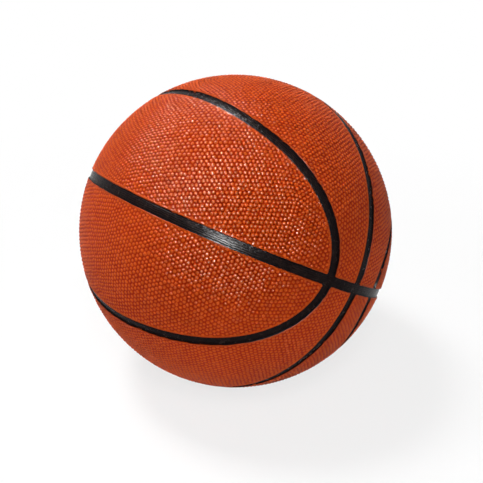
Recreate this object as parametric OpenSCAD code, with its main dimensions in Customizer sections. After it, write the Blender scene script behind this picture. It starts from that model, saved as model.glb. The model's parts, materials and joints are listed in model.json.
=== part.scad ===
/* [Ball] */
// Diameter over the cover panels
ball_d = 242; // [180:1:260]
// Thickness of the cover panels
cover_t = 1.6; // [1.2:0.1:3]

/* [Channels] */
// Width of the main channel, which runs right round the ball
main_channel_w = 7; // [5:0.5:10]
// Width of the cross channel and of the loop channels
channel_w = 7; // [5:0.5:10]
// Thickness of the strips that line the channels
strip_t = 0.6; // [0.3:0.1:1]
// Angle from the middle of a loop channel to its far ends
loop_end_angle = 76; // [70:0.5:80]
// Angle from the middle of a loop channel to its long sides
loop_side_angle = 43.5; // [38:0.5:50]
// Angle by which a loop channel is fuller at its ends and sides than an oval
loop_fullness_angle = 2.2; // [0:0.1:4]

/* [Inner layers] */
// Thickness of the carcass
carcass_t = 0.6; // [0.4:0.1:2]
// Thickness of the layer of wound thread
winding_t = 0.35; // [0.2:0.05:1]
// Thickness of the bladder
bladder_t = 0.7; // [0.4:0.1:1.5]

/* [Valve] */
// Angle of the valve above the main channel
valve_angle = 32; // [15:1:36]
// Diameter of the valve's stem
stem_d = 10; // [8:0.5:12]
// Depth of the stem's face below the panels
stem_recess = 0.2; // [0.1:0.1:1]
// Diameter of the valve's flange
flange_d = 24; // [18:1:30]
// Thickness of the valve's flange
flange_t = 1.4; // [1:0.1:2.5]
// Diameter of the reinforcing patch
patch_d = 36; // [32:1:44]
// Thickness of the reinforcing patch
patch_t = 0.6; // [0.4:0.1:1]
// Diameter of the barrel inside the ball
barrel_d = 13; // [12:0.5:16]
// Length of the barrel below the flange
barrel_l = 14; // [12:0.5:20]
// Thickness of the barrel's end
barrel_end_t = 1.6; // [1:0.1:3]
// Diameter of the hole in the barrel's end
barrel_end_hole_d = 2; // [1.5:0.1:3]

/* [Valve plug] */
// Diameter of the plug
plug_d = 5.8; // [5:0.1:6.5]
// Depth of the plug's face below the stem's face
plug_recess = 0.1; // [0.1:0.1:1]
// Diameter of the plug's collar
collar_d = 8; // [7:0.1:9]
// Thickness of the plug's collar
collar_t = 2; // [1:0.1:3]
// Depth of the collar below the plug's face
collar_depth = 10; // [9:0.5:12]
// Diameter of the guide bore for a needle
guide_d = 2.3; // [2.1:0.1:2.6]
// Length of the guide bore
guide_l = 5; // [4:0.5:7]
// Diameter of the funnel's mouth
funnel_d = 4.2; // [3:0.1:5]
// Depth of the funnel
funnel_depth = 0.8; // [0.5:0.1:2]
// Gap of the slit, before the barrel squeezes it shut
slit_gap = 0.1; // [0.05:0.05:0.2]

/* [Fit] */
// Film of cement between bonded pieces
bond_gap = 0.05; // [0.02:0.01:0.1]
// Clearance all round the plug in its housing
plug_gap = 0.05; // [0.02:0.01:0.1]

/* [Hidden] */

$fn = 180;
// Number of flats that half a loop's wall is laid in
loop_flats = 48;
// Turn round a loop's middle from one flat to the next
flat_turn = 180 / loop_flats;
turns = [0:flat_turn:180];

// Radii of the layers, from the outside in
ball_r = ball_d / 2;
cover_inner_r = ball_r - cover_t;
carcass_r = cover_inner_r - bond_gap;
winding_r = carcass_r - carcass_t - bond_gap;
bladder_r = winding_r - winding_t - bond_gap;
patch_r = bladder_r - bladder_t - bond_gap;
flange_r = patch_r - patch_t - bond_gap;
// Reach of every cutting shape, from the ball's centre to well past its surface
reach = 2 * ball_r;

// Places along the valve's axis, from the ball's centre
stem_face = ball_r - stem_recess;
barrel_top = flange_r - flange_t;
barrel_end = barrel_top - barrel_l;
plug_face = stem_face - plug_recess;
plug_end = barrel_end + barrel_end_t + plug_gap;
collar_top = plug_face - collar_depth;
guide_top = plug_face - funnel_depth;
guide_end = guide_top - guide_l;

// Half widths of the channels, as seen from the ball's centre
wall_angle = channel_w / ball_r * 90 / PI;
strip_angle = (channel_w - 2 * bond_gap) / ball_r * 90 / PI;

// A loop's outline: its angle from the loop's middle, for each turn round that middle
loop_swing_angle = (loop_end_angle - loop_side_angle) / 2;
loop_mean_angle = (loop_end_angle + loop_side_angle) / 2 - loop_fullness_angle;
function loop_angle(turn) =
  loop_mean_angle + loop_swing_angle * cos(2 * turn) + loop_fullness_angle * cos(4 * turn);
function loop_point(turn) =
  let (a = loop_angle(turn))
  [sin(a) * cos(turn), cos(a), sin(a) * sin(turn)];

// A point beside the outline, square to it, by an angle that is positive outwards
function beside_loop(turn, aside) =
  let (
    here = loop_point(turn),
    along = loop_point(turn + flat_turn) - loop_point(turn - flat_turn),
    out = cross(here, along) / norm(cross(here, along))
  )
  here * cos(aside) + out * sin(aside);
function loop_rim(aside) = [for (turn = turns) beside_loop(turn, aside)];

// The channels' own frame: the main channel level, the cross channel upright along X
module pattern() {
  rotate([-valve_angle, 0, 0]) children();
}

module front() {
  mirror([0, 1, 0]) children();
}

module lower() {
  mirror([0, 0, 1]) children();
}

module shell(outer_r, inner_r) {
  difference() {
    sphere(r = outer_r);
    sphere(r = inner_r);
  }
}

// The wedge between two rims, each a list of directions, with its tip at the ball's centre
module wedge(near_rim, far_rim) {
  last = len(near_rim) - 1;
  tip = 0;
  near = 1;
  far = near + last + 1;
  steps = [0:last - 1];
  polyhedron(
    points = concat([[0, 0, 0]], reach * near_rim, reach * far_rim),
    faces = concat(
      [for (i = steps) [tip, near + i + 1, near + i]],
      [for (i = steps) [tip, far + i, far + i + 1]],
      [for (i = steps) [near + i, far + i + 1, far + i]],
      [for (i = steps) [near + i, near + i + 1, far + i + 1]],
      [[tip, near, far], [tip, far + last, near + last]]
    )
  );
}

// Everything above a height
module above(height) {
  translate([-reach, -reach, height]) cube([2 * reach, 2 * reach, reach]);
}

// Everything behind a depth
module behind(depth) {
  translate([-reach, depth, -reach]) cube([2 * reach, reach, 2 * reach]);
}

module oval_panel() {
  intersection() {
    shell(ball_r, cover_inner_r);
    above(main_channel_w / 2);
    wedge(loop_rim(-wall_angle), [for (turn = turns) [cos(turn), sin(turn), 0]]);
  }
}

module long_panel() {
  intersection() {
    shell(ball_r, cover_inner_r);
    above(main_channel_w / 2);
    behind(channel_w / 2);
    wedge([for (turn = turns) [cos(turn), 0, sin(turn)]], loop_rim(wall_angle));
  }
}

// The shell that the strips are cut from
module strip_layer() {
  shell(cover_inner_r + strip_t, cover_inner_r);
}

module loop_strip() {
  intersection() {
    strip_layer();
    above(main_channel_w / 2);
    wedge(loop_rim(strip_angle), loop_rim(-strip_angle));
  }
}

// Its poles are turned level, clear of the strip that runs over the top
module cross_strip() {
  strip_w = channel_w - 2 * bond_gap;
  intersection() {
    rotate([90, 0, 0]) strip_layer();
    above(main_channel_w / 2);
    translate([-reach, -strip_w / 2, 0]) cube([2 * reach, strip_w, reach]);
  }
}

// A round bar on the valve's axis, from one distance from the centre to another
module bar(d, from, to) {
  rotate([-90, 0, 0]) translate([0, 0, from]) cylinder(d = d, h = to - from);
}

module stem_hole() {
  bar(stem_d + 2 * bond_gap, 0, reach);
}

// A layer of the ball with the hole that the valve's stem comes through
module layer(outer_r, inner_r) {
  difference() {
    shell(outer_r, inner_r);
    stem_hole();
  }
}

module front_upper_oval_panel() {
  color("chocolate") pattern() front() oval_panel();
}

module front_lower_oval_panel() {
  color("chocolate") pattern() front() lower() oval_panel();
}

module back_upper_oval_panel() {
  color("chocolate") difference() {
    pattern() oval_panel();
    stem_hole();
  }
}

module back_lower_oval_panel() {
  color("chocolate") pattern() lower() oval_panel();
}

module front_upper_long_panel() {
  color("chocolate") pattern() front() long_panel();
}

module front_lower_long_panel() {
  color("chocolate") pattern() front() lower() long_panel();
}

module back_upper_long_panel() {
  color("chocolate") pattern() long_panel();
}

module back_lower_long_panel() {
  color("chocolate") pattern() lower() long_panel();
}

module main_channel_strip() {
  strip_w = main_channel_w - 2 * bond_gap;
  color("black") pattern() intersection() {
    strip_layer();
    translate([-reach, -reach, -strip_w / 2]) cube([2 * reach, 2 * reach, strip_w]);
  }
}

module upper_cross_strip() {
  color("black") pattern() cross_strip();
}

module lower_cross_strip() {
  color("black") pattern() lower() cross_strip();
}

module front_upper_loop_strip() {
  color("black") pattern() front() loop_strip();
}

module front_lower_loop_strip() {
  color("black") pattern() front() lower() loop_strip();
}

module back_upper_loop_strip() {
  color("black") pattern() loop_strip();
}

module back_lower_loop_strip() {
  color("black") pattern() lower() loop_strip();
}

module carcass() {
  color("dimgray") layer(carcass_r, carcass_r - carcass_t);
}

module thread_winding() {
  color("ivory") layer(winding_r, winding_r - winding_t);
}

module bladder() {
  color("darkslategray") layer(bladder_r, bladder_r - bladder_t);
}

// A dished disc on the valve's axis, under the wall above it
module dished_disc(d, outer_r, inner_r) {
  intersection() {
    shell(outer_r, inner_r);
    bar(d, 0, reach);
  }
}

module valve_patch() {
  color("gray") difference() {
    dished_disc(patch_d, patch_r, patch_r - patch_t);
    stem_hole();
  }
}

module valve_housing() {
  color("black") difference() {
    union() {
      dished_disc(flange_d, flange_r, flange_r - flange_t);
      bar(stem_d, barrel_top, stem_face);
      bar(barrel_d, barrel_end, barrel_top);
    }
    bar(plug_d + 2 * plug_gap, barrel_end + barrel_end_t, reach);
    bar(collar_d + 2 * plug_gap, collar_top - collar_t - plug_gap, collar_top + plug_gap);
    bar(barrel_end_hole_d, 0, reach);
  }
}

module valve_plug() {
  color("darkgray") difference() {
    union() {
      bar(plug_d, plug_end, plug_face);
      bar(collar_d, collar_top - collar_t, collar_top);
    }
    bar(guide_d, guide_end, guide_top);
    rotate([-90, 0, 0]) translate([0, 0, guide_top]) cylinder(d1 = guide_d, d2 = funnel_d, h = funnel_depth);
    translate([-guide_d / 2, 0, -slit_gap / 2]) cube([guide_d, guide_end, slit_gap]);
  }
}

front_upper_oval_panel();
front_lower_oval_panel();
back_upper_oval_panel();
back_lower_oval_panel();
front_upper_long_panel();
front_lower_long_panel();
back_upper_long_panel();
back_lower_long_panel();
main_channel_strip();
upper_cross_strip();
lower_cross_strip();
front_upper_loop_strip();
front_lower_loop_strip();
back_upper_loop_strip();
back_lower_loop_strip();
carcass();
thread_winding();
bladder();
valve_patch();
valve_housing();
valve_plug();
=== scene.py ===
import json
import math

import bpy
import numpy as np
from mathutils import Matrix, Vector
from mathutils.geometry import delaunay_2d_cdt
from mathutils.kdtree import KDTree


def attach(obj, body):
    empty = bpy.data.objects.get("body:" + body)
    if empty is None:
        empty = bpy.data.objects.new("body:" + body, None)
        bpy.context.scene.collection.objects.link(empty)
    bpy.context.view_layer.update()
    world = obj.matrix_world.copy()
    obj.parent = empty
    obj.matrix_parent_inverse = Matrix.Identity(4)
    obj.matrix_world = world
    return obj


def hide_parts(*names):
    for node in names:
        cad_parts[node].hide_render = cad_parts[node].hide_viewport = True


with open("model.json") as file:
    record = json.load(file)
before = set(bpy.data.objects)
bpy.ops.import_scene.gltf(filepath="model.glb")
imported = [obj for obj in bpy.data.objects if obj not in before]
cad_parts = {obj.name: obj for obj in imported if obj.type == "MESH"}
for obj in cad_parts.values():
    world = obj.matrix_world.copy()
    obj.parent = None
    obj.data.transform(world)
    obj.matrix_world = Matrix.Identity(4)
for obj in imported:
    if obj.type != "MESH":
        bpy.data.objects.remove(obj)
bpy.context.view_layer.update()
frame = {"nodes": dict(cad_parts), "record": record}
nodes = frame["nodes"]

# A millimetre, and the distance within which two points are welded into one, in metres
MM = 0.001
WELD = 0.000002

# The ball's sizes, in millimetres and degrees, as its CAD source has them
BALL_R = 121.0
COVER_INNER_R = 119.4
MAIN_CHANNEL_HALF = 3.5
CHANNEL_HALF = 3.5
BOND_GAP = 0.05
LOOP_END_ANGLE = 76.0
LOOP_SIDE_ANGLE = 43.5
LOOP_FULLNESS_ANGLE = 2.2
VALVE_ANGLE = 32.0
STEM_HOLE_R = 5.05

# The pebbles: the rows to each edge of the icosahedron that they are laid out on, the radii of the gaps
# between them and of their tops, and their distance apart
PEBBLE_ROWS = 47
PEBBLE_GAP_R = 120.22
PEBBLE_TOP_R = 121.0
PEBBLE_PITCH = 3.16

# How unlike one another the pebbles are: the scatter of their middles and the lean of their tops, in
# millimetres, and their mean width, the scatter of their widths and their loss of height, as shares
PEBBLE_SCATTER = 0.25
PEBBLE_LEAN = 0.13
PEBBLE_WIDTH = 0.97
PEBBLE_WIDTH_SCATTER = 0.09
PEBBLE_HEIGHT_LOSS = 0.12

# The rings of points down a pebble's side: how many points a full ring has, each ring's distance out and
# height, as shares of the pebble's, with 1 for a full ring or 2 for every second point, and the furthest that
# a pebble's foot reaches, as a share of the distance to the next one
RING_POINTS = 12
PEBBLE_RINGS = [(0.3, 0.9, 2), (0.56, 0.62, 2), (0.82, 0.17, 1)]
PEBBLE_WIDEST = 0.62

# The ground between the pebbles: how many of its neighbours each one is fitted to, how squarely one of them
# has to lie to bound it, the distance within which two hollows are one, and the height and the longest span
# of the necks that join two pebbles
NEIGHBOURS = 7
LEAST_FACING = 0.2
HOLLOW_GRID = 0.5
NECK_HEIGHT = 0.06
NECK_LONGEST = 1.15

# A panel's lip, from the channel inwards: the distance from the channel's wall and the radius there
LIP = [(0.0, 120.4), (0.1, 120.62), (0.26, 120.8), (0.5, 120.92), (0.8, 120.94)]

# A panel's outline: the distance between its points, the length that each corner's curve takes off its
# sides, the steps of that curve, about how long half a loop is, and how many points stand for a whole loop
# when the distance to it is measured
OUTLINE_STEP = 0.9
CORNER_CUT = 1.6
CORNER_STEPS = 5
HALF_LOOP_LENGTH = 300
LOOP_LINE_POINTS = 2400

# The middles of the two kinds of panel, as directions in the channels' own frame
OVAL_MIDDLE = [0, 1.0, 0.42]
LONG_MIDDLE = [0, 0.25, 1.0]

# Distances from the wall: where the channel's paint is sure to have ended, where the pebbles begin and how
# far before that their rise starts, and where they reach their full height
UNPAINTED = 1.6
FIELD_INSET = 1.05
FIELD_LEAD = 0.6
FIELD_FULL_INSET = 1.8

# The smooth ring round the valve's hole: the distance from the valve's axis and the radius there
VALVE_RING = [
    (5.05, 120.55), (5.2, 120.8), (5.5, 120.93), (6.2, 120.97), (7.2, 120.94), (8.0, 120.78), (8.6, 120.6),
]
VALVE_RING_POINTS = 72

# The pebbles round that ring: how far out they begin, how far before that their rise starts, and how far
# beyond it ends
VALVE_FIELD_R = 8.9
VALVE_FIELD_LEAD = 1.0
VALVE_FIELD_RISE = 0.8

# A panel's underside: the points spread over the whole ball for it, their least distance from its edge, and
# the relief that its colour takes
UNDERSIDE_POINTS = 1600
UNDERSIDE_INSET = 4
UNDERSIDE_RELIEF = 0.3

# A channel strip's cross-section: distances in from its edge and the radii there, its crown, and the steps
# that each kind of strip is spun in
STRIP_EDGE = [(0.0, 119.72), (0.3, 119.7), (0.65, 119.78), (1.3, 119.9), (2.2, 120.0)]
STRIP_TOP_R = 120.04
MAIN_STEPS = 420
CROSS_STEPS = 200
LOOP_STEPS = 168

# The angles up to which an edge is shaded smooth, in degrees
PANEL_SMOOTH = 75
STRIP_SMOOTH = 40

# The photograph's view, from the ball's centre: angles in degrees, the distance in metres and the lens in
# millimetres, then the image's side and the ball's place in it in pixels
VIEW_AZIMUTH = 46.3
VIEW_ELEVATION = 27.6
VIEW_DISTANCE = 0.670
VIEW_LENS = 63.6
IMAGE_SIDE = 483
BALL_LEFT_OF_MIDDLE = 6.0
BALL_ABOVE_MIDDLE = 10.5

# The floor, in metres: how much of it is the background's white under the ball, and the distances over
# which that grows to all of it
FLOOR_SIZE = 12
FLOOR_WHITE_SHARE = 0.78
FLOOR_FADE = (0.15, 0.6)

# The light: its strength from all round, and the lamps, each with its direction as the camera sees it (to
# the right, up and back), its distance and size in metres, its power in watts, and whether it shows only in
# what shines
SURROUND_STRENGTH = 0.09
LAMPS = {
    "window": ((-0.38, 0.9, 0.35), 2.0, 0.5, 35.5, False),
    "window_gleam": ((-0.38, 0.9, 0.35), 2.0, 0.25, 460, True),
    "front": ((0.0, 0.3, 0.95), 1.5, 0.4, 9.6, False),
    "flash": ((-0.05, 0.09, 0.99), 1.5, 0.16, 270, True),
}

rng = np.random.default_rng(7)


# Camera

def view_axes(azimuth, elevation):
    """The directions to the camera, to its right and up, for a view of the ball."""
    a = math.radians(azimuth)
    e = math.radians(elevation)
    back = Vector((math.sin(a) * math.cos(e), -math.cos(a) * math.cos(e), math.sin(e)))
    right = Vector((math.cos(a), math.sin(a), 0))
    return back, right, back.cross(right)


BACK, RIGHT, UP = view_axes(VIEW_AZIMUTH, VIEW_ELEVATION)

camera = bpy.data.objects.new("camera", bpy.data.cameras.new("camera"))
bpy.context.scene.collection.objects.link(camera)
camera.location = BACK * VIEW_DISTANCE
camera.rotation_mode = "QUATERNION"
camera.rotation_quaternion = (-BACK).to_track_quat("-Z", "Y")
camera.data.lens = VIEW_LENS
camera.data.sensor_width = 36
camera.data.shift_x = BALL_LEFT_OF_MIDDLE / IMAGE_SIDE
camera.data.shift_y = -BALL_ABOVE_MIDDLE / IMAGE_SIDE
camera.data.clip_start = 0.01
bpy.context.scene.camera = camera


# Materials

class Value:
    """A number, vector, colour or shader on its way through a node tree, which sums can be written with."""

    def __init__(self, nodes_of, socket):
        self.nodes_of = nodes_of
        self.socket = socket

    def sum(self, operation, *terms):
        return self.nodes_of.node("ShaderNodeMath", {"operation": operation}, dict(enumerate(terms)))

    def __add__(self, other):
        return self.sum("ADD", self, other)

    def __radd__(self, other):
        return self.sum("ADD", other, self)

    def __sub__(self, other):
        return self.sum("SUBTRACT", self, other)

    def __rsub__(self, other):
        return self.sum("SUBTRACT", other, self)

    def __mul__(self, other):
        return self.sum("MULTIPLY", self, other)


class Nodes:
    """The node tree of a material or of the world."""

    def __init__(self, owner, output_name):
        owner.use_nodes = True
        self.owner = owner
        self.tree = owner.node_tree
        self.output = self.tree.nodes[output_name]

    def feed(self, socket, value):
        if isinstance(value, Value):
            self.tree.links.new(value.socket, socket)
        else:
            socket.default_value = value

    def node(self, kind, settings=None, inputs=None, output=0):
        made = self.tree.nodes.new(kind)
        for name, value in (settings or {}).items():
            setattr(made, name, value)
        for name, value in (inputs or {}).items():
            self.feed(made.inputs[name], value)
        return Value(self, made.outputs[output])

    def white_where_seen(self, shader, share=1.0):
        """Shows plain white to the camera and to mirrors and glass, and lights all else with the shader."""
        seen = self.node("ShaderNodeLightPath", output="Is Camera Ray")
        for ray in ("Is Glossy Ray", "Is Transmission Ray"):
            seen = seen + self.node("ShaderNodeLightPath", output=ray)
        white = self.node("ShaderNodeEmission")
        both = self.node("ShaderNodeMixShader", inputs={0: seen * share, 1: shader, 2: white})
        self.feed(self.output.inputs["Surface"], both)


class Finish(Nodes):
    """A material on a Principled shader. Numbers that are the same all over go straight onto the shader."""

    def __init__(self, name, **constants):
        super().__init__(bpy.data.materials.new(name), "Material Output")
        self.shader = self.tree.nodes["Principled BSDF"]
        self.show(**constants)

    def place(self):
        return self.node("ShaderNodeTexCoord", output="Object")

    def attribute(self, name):
        return self.node("ShaderNodeAttribute", {"attribute_name": name}, output="Fac")

    def noise(self, scale, detail=2.0, distortion=0.0):
        inputs = {"Vector": self.place(), "Scale": scale, "Detail": detail, "Distortion": distortion}
        return self.node("ShaderNodeTexNoise", inputs=inputs, output="Fac")

    def between(self, value, low, high, to_low=0.0, to_high=1.0):
        inputs = {"Value": value, 1: low, 2: high, 3: to_low, 4: to_high}
        return self.node("ShaderNodeMapRange", {"interpolation_type": "SMOOTHSTEP"}, inputs)

    def mix(self, factor, one, other):
        return self.node("ShaderNodeMix", {"data_type": "RGBA"}, {0: factor, 6: one, 7: other}, output=2)

    def bump(self, height, depth, strength=1.0):
        inputs = {"Height": height, "Distance": depth, "Strength": strength}
        return self.node("ShaderNodeBump", inputs=inputs)

    def show(self, **sockets):
        for socket, value in sockets.items():
            self.feed(self.shader.inputs[socket.replace("_", " ")], value)
        return self.owner


def colour(red, green, blue):
    return (red, green, blue, 1.0)


CHANNEL_PAINT = colour(0.006, 0.003, 0.003)


def cover_rubber():
    """Moulded orange rubber, with painted shade at the pebbles' feet and the channel's paint on its lip."""
    f = Finish(
        "cover_rubber", IOR=1.5, Specular_IOR_Level=0.0, Coat_IOR=1.25, Coat_Roughness=0.2,
        Sheen_Weight=0.06, Sheen_Roughness=0.5,
    )
    relief = f.attribute("relief")
    smooth = f.attribute("smooth")
    from_wall = f.attribute("from_wall")
    blotches = f.noise(28.0, 3.0)
    grain = f.noise(1500.0, 3.0)
    body = f.mix(blotches, colour(0.53, 0.067, 0.0042), colour(0.61, 0.084, 0.0055))
    # Painted shade: the colour darkens towards the pebbles' feet, in the recesses between them where shade
    # falls
    painted_foot_shade = 1 - f.between(relief, -0.1, 0.66)
    skin = f.mix(painted_foot_shade * (1 - smooth) * 0.95, body, colour(0.26, 0.007, 0.0004))
    skin = f.mix(smooth * 0.8, skin, colour(0.38, 0.042, 0.003))
    skin = f.mix(f.between(grain, 0.35, 0.65) * 0.12, skin, colour(0.24, 0.03, 0.008))
    edge_of_paint = 0.15 + (f.noise(160.0, 3.0) - 0.5) * 0.8
    painted = 1 - f.between(from_wall - edge_of_paint, -0.05, 0.05)
    skin = f.mix(painted, skin, CHANNEL_PAINT)
    rough = 0.45 + blotches * 0.1
    coat = f.between(relief, 0.45, 0.95) * (1 - smooth * 0.95)
    return f.show(Base_Color=skin, Roughness=rough, Coat_Weight=coat, Normal=f.bump(grain, 0.00003, 0.5))


def channel_rubber():
    """Near-black rubber paint, a little glossy, wrinkled along the channel, with faint streaks and dust."""
    f = Finish("channel_rubber", IOR=1.45, Specular_IOR_Level=0.034)
    streaks = f.noise(260.0, 4.0, 0.6)
    dust = f.noise(60.0, 3.0)
    wrinkles = f.noise(420.0, 3.0, 0.4)
    across = f.attribute("across")
    folds = across.sum("SINE", across * 4.5 + wrinkles * 9.0)
    skin = f.mix(f.between(streaks, 0.4, 0.75), CHANNEL_PAINT, colour(0.013, 0.006, 0.005))
    skin = f.mix(f.between(dust, 0.5, 0.8) * 0.3, skin, colour(0.03, 0.020, 0.018))
    rough = 0.2 + streaks * 0.12
    height = wrinkles + folds * 0.18
    return f.show(Base_Color=skin, Roughness=rough, Normal=f.bump(height, 0.0003))


def carcass_rubber():
    f = Finish("carcass_rubber", IOR=1.5)
    cloth = f.noise(420.0, 4.0)
    skin = f.mix(cloth, colour(0.05, 0.047, 0.045), colour(0.13, 0.12, 0.11))
    return f.show(Base_Color=skin, Roughness=0.7 + cloth * 0.2, Normal=f.bump(cloth, 0.0001))


def nylon_thread():
    """Fine thread wound over the bladder in three directions."""
    f = Finish("nylon_thread", IOR=1.5)
    threads = None
    for turn in ((0.0, 0.0, 0.0), (1.05, 0.35, 0.0), (-0.9, 0.5, 1.2)):
        inputs = {"Vector": f.place(), "Rotation": turn}
        where = f.node("ShaderNodeMapping", inputs=inputs)
        inputs = {"Vector": where, "Scale": 320.0, "Distortion": 0.6}
        wave = f.node("ShaderNodeTexWave", {"bands_direction": "Z"}, inputs, output="Fac")
        threads = wave if threads is None else threads.sum("MAXIMUM", threads, wave)
    skin = f.mix(threads, colour(0.42, 0.38, 0.30), colour(0.80, 0.76, 0.66))
    return f.show(Base_Color=skin, Roughness=0.75 - threads * 0.3, Normal=f.bump(threads, 0.0002))


def butyl_rubber():
    f = Finish("butyl_rubber", IOR=1.5)
    bloom = f.noise(45.0, 4.0, 0.8)
    skin = f.mix(f.between(bloom, 0.4, 0.75), colour(0.014, 0.014, 0.016), colour(0.045, 0.045, 0.05))
    return f.show(Base_Color=skin, Roughness=0.32 + bloom * 0.25, Normal=f.bump(bloom, 0.0001, 0.4))


def valve_rubber(name, dark, pale, rough):
    f = Finish(name, IOR=1.5)
    grain = f.noise(900.0, 3.0)
    wear = f.noise(160.0, 3.0)
    skin = f.mix(f.between(wear, 0.35, 0.75), dark, pale)
    return f.show(Base_Color=skin, Roughness=rough + grain * 0.15, Normal=f.bump(grain, 0.00005, 0.6))


FINISHES = {
    "cover_rubber": cover_rubber(),
    "channel_rubber": channel_rubber(),
    "carcass_rubber": carcass_rubber(),
    "nylon_thread": nylon_thread(),
    "butyl_rubber": butyl_rubber(),
    "valve_rubber": valve_rubber(
        "valve_rubber", colour(0.012, 0.011, 0.011), colour(0.03, 0.027, 0.026), 0.5,
    ),
    "plug_rubber": valve_rubber(
        "plug_rubber", colour(0.035, 0.034, 0.034), colour(0.075, 0.072, 0.07), 0.6,
    ),
}

for subpart in frame["record"]["subparts"]:
    node = nodes[subpart["node"]]
    if not node.material_slots:
        node.data.materials.append(None)
    for slot in node.material_slots:
        slot.material = FINISHES[subpart["material_slot"]]


# The channels' outlines, as directions from the ball's centre in the channels' own frame

def loop_angle(turn):
    swing = (LOOP_END_ANGLE - LOOP_SIDE_ANGLE) / 2
    mean = (LOOP_END_ANGLE + LOOP_SIDE_ANGLE) / 2 - LOOP_FULLNESS_ANGLE
    return np.radians(mean + swing * np.cos(2 * turn) + LOOP_FULLNESS_ANGLE * np.cos(4 * turn))


def loop_point(turn):
    a = loop_angle(turn)
    return np.stack([np.sin(a) * np.cos(turn), np.cos(a), np.sin(a) * np.sin(turn)], -1)


def unit(vectors):
    return vectors / np.linalg.norm(vectors, axis=-1, keepdims=True)


def beside_loop(turn, aside_mm):
    """Points beside the loop's line, square to it, by a distance that is positive outwards."""
    turn = np.asarray(turn, float)
    here = loop_point(turn)
    out = unit(np.cross(here, loop_point(turn + 0.01) - loop_point(turn - 0.01)))
    aside = np.expand_dims(np.asarray(aside_mm) / BALL_R, -1)
    return here * np.cos(aside) + out * np.sin(aside)


def loop_start(aside_mm, height_mm):
    """The turn at which a line beside the loop comes up to a height."""
    turns = np.linspace(0, 0.5, 400)
    return float(np.interp(height_mm / BALL_R, beside_loop(turns, aside_mm)[:, 2], turns))


def steps(start, end, length_mm, step_mm):
    return np.linspace(start, end, max(int(length_mm / step_mm), 2) + 1)


def level_line(height_mm, start, end, step_mm):
    """A line at one height, between two angles from the X axis."""
    ring = math.sqrt(1 - (height_mm / BALL_R) ** 2)
    a = steps(start, end, abs(end - start) * BALL_R, step_mm)
    return np.stack([ring * np.cos(a), ring * np.sin(a), np.full(len(a), height_mm / BALL_R)], -1)


def upright_line(depth_mm, start, end, step_mm):
    """A line beside the cross channel, between two angles above the X axis."""
    ring = math.sqrt(1 - (depth_mm / BALL_R) ** 2)
    a = steps(start, end, abs(end - start) * BALL_R, step_mm)
    return np.stack([ring * np.cos(a), np.full(len(a), depth_mm / BALL_R), ring * np.sin(a)], -1)


def outline(long, inset, corner):
    """A panel's closed outline, moved in from the channels' walls, with its corners rounded."""
    step_mm = OUTLINE_STEP
    height = MAIN_CHANNEL_HALF + inset
    aside = CHANNEL_HALF + inset if long else -CHANNEL_HALF - inset
    start = loop_start(aside, height)
    lines = [beside_loop(steps(start, math.pi - start, HALF_LOOP_LENGTH, step_mm), aside)]
    end_angle = math.atan2(lines[0][0, 1], lines[0][0, 0])
    if long:
        depth = CHANNEL_HALF + inset
        level_end = math.asin(depth / math.sqrt(BALL_R ** 2 - height ** 2))
        upright_end = math.asin(height / math.sqrt(BALL_R ** 2 - depth ** 2))
        lines.append(level_line(height, math.pi - end_angle, math.pi - level_end, step_mm))
        lines.append(upright_line(depth, math.pi - upright_end, upright_end, step_mm))
        lines.append(level_line(height, level_end, end_angle, step_mm))
    else:
        lines.append(level_line(height, math.pi - end_angle, end_angle, step_mm))
    if not corner:
        return np.concatenate([line[:-1] for line in lines])
    cut = []
    for line in lines:
        from_ends = np.minimum(*(np.linalg.norm(line - end, axis=1) for end in (line[0], line[-1])))
        cut.append(line[from_ends > corner / BALL_R])
    whole = []
    for line, kept, following in zip(lines, cut, cut[1:] + cut[:1]):
        whole.append(kept)
        t = np.linspace(0, 1, CORNER_STEPS + 1)[1:-1, None]
        whole.append(unit(kept[-1] * (1 - t) ** 2 + line[-1] * 2 * t * (1 - t) + following[0] * t ** 2))
    return np.concatenate(whole)


LOOP_LINE = KDTree(LOOP_LINE_POINTS)
for i, point in enumerate(loop_point(np.linspace(0, 2 * math.pi, LOOP_LINE_POINTS, endpoint=False))):
    LOOP_LINE.insert(point, i)
LOOP_LINE.balance()


def inset_of(points, long):
    """How far each direction lies inside a panel's walls, in millimetres: negative outside it."""
    aside = np.array([LOOP_LINE.find(p)[2] for p in points]) * BALL_R
    inside = np.arccos(np.clip(points[:, 1], -1, 1)) < loop_angle(np.arctan2(points[:, 2], points[:, 0]))
    aside = np.where(inside == long, -aside, aside) - CHANNEL_HALF
    result = np.minimum(aside, points[:, 2] * BALL_R - MAIN_CHANNEL_HALF)
    return np.minimum(result, points[:, 1] * BALL_R - CHANNEL_HALF) if long else result


# Flat charts of the sphere, for laying a skin over its points

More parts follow.
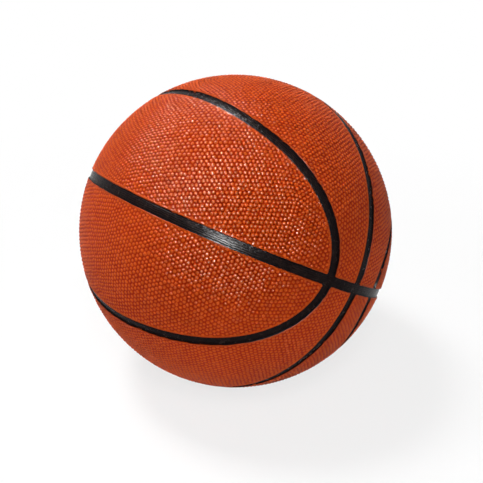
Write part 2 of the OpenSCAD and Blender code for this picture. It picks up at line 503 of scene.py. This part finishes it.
class Chart:
    """A flat map of the sphere that keeps shapes, centred on a panel."""

    def __init__(self, centre):
        self.centre = unit(np.array(centre, float))
        self.across = unit(np.cross(self.centre, [1.0, 0.0, 0.0]))
        self.along = np.cross(self.across, self.centre)

    def flat(self, points):
        scale = 2 * BALL_R / (1 + points @ self.centre)
        return np.stack([points @ self.along * scale, points @ self.across * scale], -1)

    def triangles(self, points, lines=()):
        """Triangles over all the points, that keep the closed lines, given as lists of point numbers."""
        edges = [(int(a), int(b)) for line in lines for a, b in zip(line, np.roll(line, -1))]
        flat = [Vector(p) for p in self.flat(points)]
        got = delaunay_2d_cdt(flat, edges, [], 0, 1e-5)
        first = np.array([o[0] if o else -1 for o in got[3]])
        faces = first[np.array(got[2])]
        a, b, c = points[faces[:, 0]], points[faces[:, 1]], points[faces[:, 2]]
        turned = ((np.cross(b - a, c - a) * a).sum(1) < 0)
        faces[turned] = faces[turned][:, ::-1]
        return faces

    def inside(self, points, outline_points):
        """Which points lie inside a closed outline."""
        p = self.flat(points)
        a = self.flat(outline_points)
        b = np.roll(a, -1, 0)
        result = np.zeros(len(p), bool)
        for (x0, y0), (x1, y1) in zip(a, b):
            if y0 != y1:
                crosses = (y0 > p[:, 1]) != (y1 > p[:, 1])
                result ^= crosses & (p[:, 0] < (x1 - x0) * (p[:, 1] - y0) / (y1 - y0) + x0)
        return result


def spread(count):
    """Directions spread evenly over the whole ball, in rows that curve round its X axis."""
    i = np.arange(count) + 0.5
    x = 1 - 2 * i / count
    turn = i * math.pi * (3 - math.sqrt(5))
    ring = np.sqrt(1 - x * x)
    return np.stack([x, ring * np.cos(turn), ring * np.sin(turn)], -1)


def rows_of_pebbles(rows):
    """Directions in rows of equal triangles, over an icosahedron's 20 faces drawn out onto the ball."""
    golden = (1 + math.sqrt(5)) / 2
    corners = []
    for a in (-1, 1):
        for b in (-golden, golden):
            corners += [(0, a, b), (a, b, 0), (b, 0, a)]
    corners = unit(np.array(corners, float))
    edge = math.acos(1 / math.sqrt(5))
    edge_or_less = math.cos(1.05 * edge)
    found = []
    for i in range(12):
        for j in range(i + 1, 12):
            for k in range(j + 1, 12):
                a, b, c = corners[i], corners[j], corners[k]
                if min(a @ b, b @ c, c @ a) < edge_or_less:
                    continue
                one, two = np.meshgrid(np.arange(rows + 1), np.arange(rows + 1))
                one, two = one[one + two <= rows], two[one + two <= rows]
                shares = [np.sin(n / rows * edge)[:, None] for n in (one, two, rows - one - two)]
                found.append(unit(a * shares[0] + b * shares[1] + c * shares[2]))
    found = np.concatenate(found)
    return found[np.unique(np.round(found, 6), axis=0, return_index=True)[1]]


TURN_OF_ROWS = np.array(Matrix.Rotation(0.5, 3, "Y") @ Matrix.Rotation(0.9, 3, "X"))
PEBBLE_CENTRES = rows_of_pebbles(PEBBLE_ROWS) @ TURN_OF_ROWS.T
PEBBLE_CENTRES = unit(PEBBLE_CENTRES + rng.normal(0, PEBBLE_SCATTER / BALL_R, PEBBLE_CENTRES.shape))
PEBBLE_WIDTHS = rng.normal(PEBBLE_WIDTH, PEBBLE_WIDTH_SCATTER, len(PEBBLE_CENTRES))
PEBBLE_HEIGHTS = 1 - np.abs(rng.normal(0, PEBBLE_HEIGHT_LOSS, len(PEBBLE_CENTRES)))
PEBBLE_LEANS = rng.normal(0, PEBBLE_LEAN / BALL_R, PEBBLE_CENTRES.shape)


def pebble_field(chart, long):
    """Points of the pebbles near a panel: their directions and how high each stands in the relief."""
    near = inset_of(PEBBLE_CENTRES, long) > -2 * PEBBLE_PITCH
    near &= PEBBLE_CENTRES @ chart.centre > -0.2
    centres, widths = PEBBLE_CENTRES[near], PEBBLE_WIDTHS[near]
    heights, leans = PEBBLE_HEIGHTS[near], PEBBLE_LEANS[near]
    tree = KDTree(len(centres))
    for i, c in enumerate(centres):
        tree.insert(c, i)
    tree.balance()
    beside = np.array([[n[1] for n in tree.find_n(c, NEIGHBOURS + 1)[1:]] for c in centres])
    away = centres[beside] - centres[:, None]
    gap = np.linalg.norm(away, axis=2)

    u = unit(np.cross(centres, [0.1, 0.3, 1.0]))
    v = np.cross(centres, u)
    turns = np.linspace(0, 2 * math.pi, RING_POINTS, endpoint=False)
    toward = u[:, None] * np.cos(turns)[:, None] + v[:, None] * np.sin(turns)[:, None]

    # In each direction a foot reaches half-way to the neighbour that it meets first
    facing = np.einsum("ikc,ijc->ijk", away, toward) / gap[:, None]
    half_way = gap[:, None] / 2 / np.maximum(facing, LEAST_FACING)
    reach = np.where(facing > LEAST_FACING, half_way, BALL_R).min(2)
    reach = np.minimum(reach, PEBBLE_WIDEST * PEBBLE_PITCH / BALL_R)

    def ring(share, height, every):
        span = (reach * share * widths[:, None])[:, ::every, None]
        middles = (centres + leans * height)[:, None]
        found = unit(middles + toward[:, ::every] * span)
        return found.reshape(-1, 3), np.repeat(heights * height, found.shape[1])

    faces = chart.triangles(centres)
    a, b, c = centres[faces[:, 0]], centres[faces[:, 1]], centres[faces[:, 2]]
    hollows = unit(np.cross(a, b) + np.cross(b, c) + np.cross(c, a))
    keep = np.linalg.norm(hollows - a, axis=1) < PEBBLE_PITCH / BALL_R
    hollows = hollows[keep]
    hollows = hollows[np.unique(np.round(hollows * BALL_R / HOLLOW_GRID), axis=0, return_index=True)[1]]
    sides = np.concatenate([faces[:, [0, 1]], faces[:, [1, 2]], faces[:, [2, 0]]])
    pairs = np.unique(np.sort(sides, 1), axis=0)
    one, other = centres[pairs[:, 0]], centres[pairs[:, 1]]
    short = np.linalg.norm(one - other, axis=1) < NECK_LONGEST * PEBBLE_PITCH / BALL_R
    necks = unit(one[short] + other[short])

    sets = [(unit(centres + leans), heights)] + [ring(*row) for row in PEBBLE_RINGS]
    sets += [(hollows, np.zeros(len(hollows))), (necks, np.full(len(necks), NECK_HEIGHT))]
    return np.concatenate([s[0] for s in sets]), np.concatenate([s[1] for s in sets])


def eased(value, low, high):
    """How far a value has come from low to high, with a slow start and end."""
    t = np.clip((value - low) / (high - low), 0, 1)
    return t * t * (3 - 2 * t)


def mesh_object(name, points_mm, faces, slot_name, **attributes):
    mesh = bpy.data.meshes.new(name)
    mesh.from_pydata((points_mm * MM).tolist(), [], [list(map(int, f)) for f in faces])
    for key, values in attributes.items():
        data = mesh.attributes.new(key, "FLOAT", "POINT").data
        data.foreach_set("value", np.asarray(values, np.float32))
    mesh.materials.append(FINISHES[slot_name])
    made = bpy.data.objects.new(name, mesh)
    bpy.context.scene.collection.objects.link(made)
    return made


VALVE_AXIS = np.array([0.0, math.cos(math.radians(VALVE_ANGLE)), math.sin(math.radians(VALVE_ANGLE))])


def circle(around, radius_mm, count):
    """A circle on the ball, square to an axis."""
    u = unit(np.cross(around, [1.0, 0.0, 0.0]))
    v = np.cross(around, u)
    a = np.linspace(0, 2 * math.pi, count, endpoint=False)[:, None]
    s = radius_mm / BALL_R
    return around * math.sqrt(1 - s * s) + (u * np.cos(a) + v * np.sin(a)) * s


def panel(name, long, with_hole=False):
    """A cover panel: pebbles, a smooth lip rolled down into the channels, walls and a plain underside."""
    chart = Chart(LONG_MIDDLE if long else OVAL_MIDDLE)
    rows = [(outline(long, s, min(CORNER_CUT, 4 * s)), r) for s, r in LIP]
    if with_hole:
        rows += [(circle(VALVE_AXIS, s, VALVE_RING_POINTS), r) for s, r in VALVE_RING]
    field, relief = pebble_field(chart, long)
    inset = inset_of(field, long)
    keep = (inset > FIELD_INSET) & chart.inside(field, outline(long, FIELD_INSET, CORNER_CUT))
    if with_hole:
        from_valve = np.linalg.norm(np.cross(field, VALVE_AXIS), axis=1) * BALL_R
        keep &= (from_valve > VALVE_FIELD_R) | (field @ VALVE_AXIS < 0)
    field, relief, inset = field[keep], relief[keep], inset[keep]
    full = eased(inset, FIELD_INSET - FIELD_LEAD, FIELD_FULL_INSET)
    if with_hole:
        rise = (VALVE_FIELD_R - VALVE_FIELD_LEAD, VALVE_FIELD_R + VALVE_FIELD_RISE)
        full *= eased(from_valve[keep], *rise)
    rim_relief = (LIP[-1][1] - PEBBLE_GAP_R) / (PEBBLE_TOP_R - PEBBLE_GAP_R)
    relief = relief * full + rim_relief * (1 - full)

    points = np.concatenate([row for row, r in rows] + [field])
    radius = np.concatenate([np.full(len(row), r) for row, r in rows]
                            + [PEBBLE_GAP_R + relief * (PEBBLE_TOP_R - PEBBLE_GAP_R)])
    ends = np.cumsum([0] + [len(row) for row, r in rows])
    lines = [np.arange(start, end) for start, end in zip(ends, ends[1:])]
    lip_points = ends[-1]
    smooth = np.concatenate([np.ones(lip_points), 1 - full])
    row_insets = [s for s, r in LIP] + [UNPAINTED] * (len(rows) - len(LIP))
    from_wall = np.concatenate([np.full(len(row), s) for (row, r), s in zip(rows, row_insets)]
                               + [np.full(len(field), UNPAINTED)])
    relief = np.concatenate([np.ones(lip_points), relief])
    faces = chart.triangles(points, lines)
    middle = unit(points[faces].sum(1))
    wanted = chart.inside(middle, points[lines[0]])
    rims = [lines[0]]
    if with_hole:
        hole = lines[len(LIP)]
        wanted &= ~chart.inside(middle, points[hole])
        rims.append(hole)
    faces = faces[wanted]

    # The walls stand on the underside's rim, one point below each point of the top's rim
    count = len(points)
    rim = np.concatenate(rims)
    under = spread(UNDERSIDE_POINTS)
    under = under[inset_of(under, long) > UNDERSIDE_INSET]
    if with_hole:
        under = under[np.linalg.norm(under - VALVE_AXIS, axis=1) * BALL_R > STEM_HOLE_R + UNDERSIDE_INSET]
    low_points = np.concatenate([points[rim], under])
    low_lines, at = [], 0
    for line in rims:
        low_lines.append(np.arange(at, at + len(line)))
        at += len(line)
    low_faces = chart.triangles(low_points, low_lines)
    middle = unit(low_points[low_faces].sum(1))
    wanted = chart.inside(middle, low_points[low_lines[0]])
    if with_hole:
        wanted &= ~chart.inside(middle, low_points[low_lines[1]])
    low_faces = low_faces[wanted][:, ::-1] + count
    walls = []
    for top, low in zip(rims, low_lines):
        low = low + count
        next_top, next_low = np.roll(top, -1), np.roll(low, -1)
        walls.append(np.stack([top, next_top, next_low], 1))
        walls.append(np.stack([top, next_low, low], 1))
    walls = np.concatenate(walls)
    all_points = np.concatenate([points * radius[:, None], low_points * COVER_INNER_R])
    low = len(low_points)
    return mesh_object(
        name, all_points, np.concatenate([faces, walls, low_faces]), "cover_rubber",
        relief=np.concatenate([relief, np.full(low, UNDERSIDE_RELIEF)]),
        smooth=np.concatenate([smooth, np.zeros(low)]),
        from_wall=np.concatenate([from_wall, from_wall[rim], np.full(len(under), UNPAINTED)]),
    )


# Small tools round Blender's operators

def deselect_all():
    for o in bpy.context.selected_objects:
        o.select_set(False)


def only(made):
    deselect_all()
    made.select_set(True)
    bpy.context.view_layer.objects.active = made


def tidy_normals(made):
    only(made)
    bpy.ops.object.mode_set(mode="EDIT")
    bpy.ops.mesh.select_all(action="SELECT")
    bpy.ops.mesh.remove_doubles(threshold=WELD)
    bpy.ops.mesh.normals_make_consistent(inside=False)
    bpy.ops.object.mode_set(mode="OBJECT")


def smooth_up_to(made, degrees):
    only(made)
    bpy.ops.object.shade_smooth_by_angle(angle=math.radians(degrees))


PATTERN = Matrix.Rotation(math.radians(-VALVE_ANGLE), 4, "X")
FRONT = Matrix.Diagonal((1, -1, 1, 1))
LOWER = Matrix.Diagonal((1, 1, -1, 1))
UNTURNED = Matrix.Identity(4)


def placed_copy(source, name, turn):
    """A copy with its own mesh, mirrored into its quarter and then turned with the whole pattern."""
    made = bpy.data.objects.new(name, source.data.copy())
    made.data.name = name
    bpy.context.scene.collection.objects.link(made)
    made.data.transform(PATTERN @ turn)
    if turn.determinant() < 0:
        made.data.flip_normals()
    return made


def stands_for(made, node):
    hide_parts(node)
    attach(made, "root")


QUARTERS = {
    "back_upper": UNTURNED,
    "back_lower": LOWER,
    "front_upper": FRONT,
    "front_lower": FRONT @ LOWER,
}


# Cover panels

oval = panel("oval_blank", False)
long_blank = panel("long_blank", True)
oval_with_hole = panel("oval_with_hole_blank", False, True)
for blank in (oval, long_blank, oval_with_hole):
    tidy_normals(blank)
    smooth_up_to(blank, PANEL_SMOOTH)
for quarter, turn in QUARTERS.items():
    oval_source = oval_with_hole if quarter == "back_upper" else oval
    for kind, source in (("oval", oval_source), ("long", long_blank)):
        node = f"{quarter}_{kind}_panel"
        stands_for(placed_copy(source, f"{node}_skin", turn), node)
for blank in (oval, long_blank, oval_with_hole):
    bpy.data.objects.remove(blank)


# Channel strips

def strip_profile(half):
    """A crowned cross-section with a groove along each wall: distances from its middle, and radii."""
    half -= BOND_GAP
    right = [(half - inwards, radius) for inwards, radius in STRIP_EDGE]
    left = [(-x, r) for x, r in reversed(right)]
    return [(half, COVER_INNER_R)] + right + [(0.0, STRIP_TOP_R)] + left + [(-half, COVER_INNER_R)]


def spun_strip(name, half, angle, count, axis):
    """A strip's cross-section spun round an axis from the X axis on, by an angle."""
    profile = strip_profile(half)
    deselect_all()
    bpy.ops.mesh.primitive_circle_add(vertices=len(profile), radius=MM, fill_type="NOTHING")
    made = bpy.context.object
    made.name = made.data.name = name
    for vertex, (aside, radius) in zip(made.data.vertices, profile):
        vertex.co = Vector((radius, 0, aside)) * MM if axis.z else Vector((radius, aside, 0)) * MM
    bpy.ops.object.mode_set(mode="EDIT")
    bpy.ops.mesh.select_all(action="SELECT")
    bpy.ops.mesh.spin(steps=count, angle=angle, center=(0, 0, 0), axis=axis)
    bpy.ops.mesh.select_all(action="SELECT")
    bpy.ops.mesh.remove_doubles(threshold=WELD)
    if angle < 2 * math.pi:
        bpy.ops.mesh.select_all(action="DESELECT")
        bpy.ops.mesh.select_non_manifold()
        bpy.ops.mesh.fill_holes(sides=0)
    bpy.ops.mesh.select_all(action="SELECT")
    bpy.ops.mesh.normals_make_consistent(inside=False)
    bpy.ops.object.mode_set(mode="OBJECT")
    made.data.materials.append(FINISHES["channel_rubber"])
    place = coordinates(made)[:, 2 if axis.z else 1]
    made.data.attributes.new("across", "FLOAT", "POINT").data.foreach_set("value", place.astype(np.float32))
    return made


def coordinates(made):
    values = np.empty(3 * len(made.data.vertices))
    made.data.vertices.foreach_get("co", values)
    return values.reshape(-1, 3) / MM


def set_coordinates(made, points_mm):
    made.data.vertices.foreach_set("co", (points_mm * MM).ravel())
    made.data.update()


Y_AXIS = Vector((0, 1, 0))
Z_AXIS = Vector((0, 0, 1))

main_strip = spun_strip("main_channel_strip_blank", MAIN_CHANNEL_HALF, 2 * math.pi, MAIN_STEPS, Z_AXIS)

cross_strip = spun_strip("cross_strip_blank", CHANNEL_HALF, math.pi, CROSS_STEPS, Y_AXIS)
points = coordinates(cross_strip)
points[:, 2] = np.abs(points[:, 2])
radius = np.hypot(points[:, 0], points[:, 2])
share = np.arctan2(points[:, 2], points[:, 0]) / math.pi
start = np.arcsin(MAIN_CHANNEL_HALF / radius)
turn = start + (math.pi - 2 * start) * share
points[:, 0], points[:, 2] = radius * np.cos(turn), radius * np.sin(turn)
set_coordinates(cross_strip, points)

loop_strip = spun_strip("loop_strip_blank", CHANNEL_HALF, math.pi, LOOP_STEPS, Y_AXIS)
points = coordinates(loop_strip)
radius = np.hypot(points[:, 0], points[:, 2])
share = np.arctan2(np.abs(points[:, 2]), points[:, 0]) / math.pi
starts = {a: loop_start(a, MAIN_CHANNEL_HALF) for a in np.unique(np.round(points[:, 1], 4))}
start = np.array([starts[a] for a in np.round(points[:, 1], 4)])
turn = start + (math.pi - 2 * start) * share
set_coordinates(loop_strip, beside_loop(turn, points[:, 1]) * radius[:, None])

for blank in (main_strip, cross_strip, loop_strip):
    tidy_normals(blank)
    smooth_up_to(blank, STRIP_SMOOTH)

main_lining = placed_copy(main_strip, "main_channel_lining", UNTURNED)
stands_for(main_lining, "main_channel_strip")
for half_name, turn in (("upper", UNTURNED), ("lower", LOWER)):
    lining = placed_copy(cross_strip, f"{half_name}_cross_lining", turn)
    stands_for(lining, f"{half_name}_cross_strip")
for quarter, turn in QUARTERS.items():
    lining = placed_copy(loop_strip, f"{quarter}_loop_lining", turn)
    stands_for(lining, f"{quarter}_loop_strip")
for blank in (main_strip, cross_strip, loop_strip):
    bpy.data.objects.remove(blank)


# Floor, surroundings and lights

deselect_all()
bpy.ops.mesh.primitive_plane_add(size=FLOOR_SIZE, location=(0, 0, 0))
floor = bpy.context.object
floor.name = "floor"
for vertex in floor.data.vertices:
    vertex.co.z = -BALL_R * MM
pale = Finish("floor", Base_Color=colour(0.9, 0.9, 0.9), Roughness=1.0, Specular_IOR_Level=0.0)
from_ball = pale.node("ShaderNodeVectorMath", {"operation": "LENGTH"}, {0: pale.place()}, output="Value")
fade = pale.between(from_ball, *FLOOR_FADE, FLOOR_WHITE_SHARE, 1.0)
pale.white_where_seen(Value(pale, pale.shader.outputs["BSDF"]), fade)
floor.data.materials.append(pale.owner)

surround = Nodes(bpy.data.worlds.new("surround"), "World Output")
inputs = {"Strength": SURROUND_STRENGTH, "Color": colour(1, 1, 1)}
dim = surround.node("ShaderNodeBackground", inputs=inputs)
surround.white_where_seen(dim)
bpy.context.scene.world = surround.owner

for name, (toward, distance, size, power, gleam) in LAMPS.items():
    data = bpy.data.lights.new(name, "AREA")
    data.size = size
    data.energy = power
    lamp = bpy.data.objects.new(name, data)
    bpy.context.scene.collection.objects.link(lamp)
    right, up, back = toward
    direction = (RIGHT * right + UP * up + BACK * back).normalized()
    lamp.location = direction * distance
    lamp.rotation_mode = "QUATERNION"
    lamp.rotation_quaternion = (-direction).to_track_quat("-Z", "Y")
    lamp.visible_diffuse = not gleam
    lamp.visible_glossy = gleam

bpy.context.scene.view_settings.view_transform = "Standard"
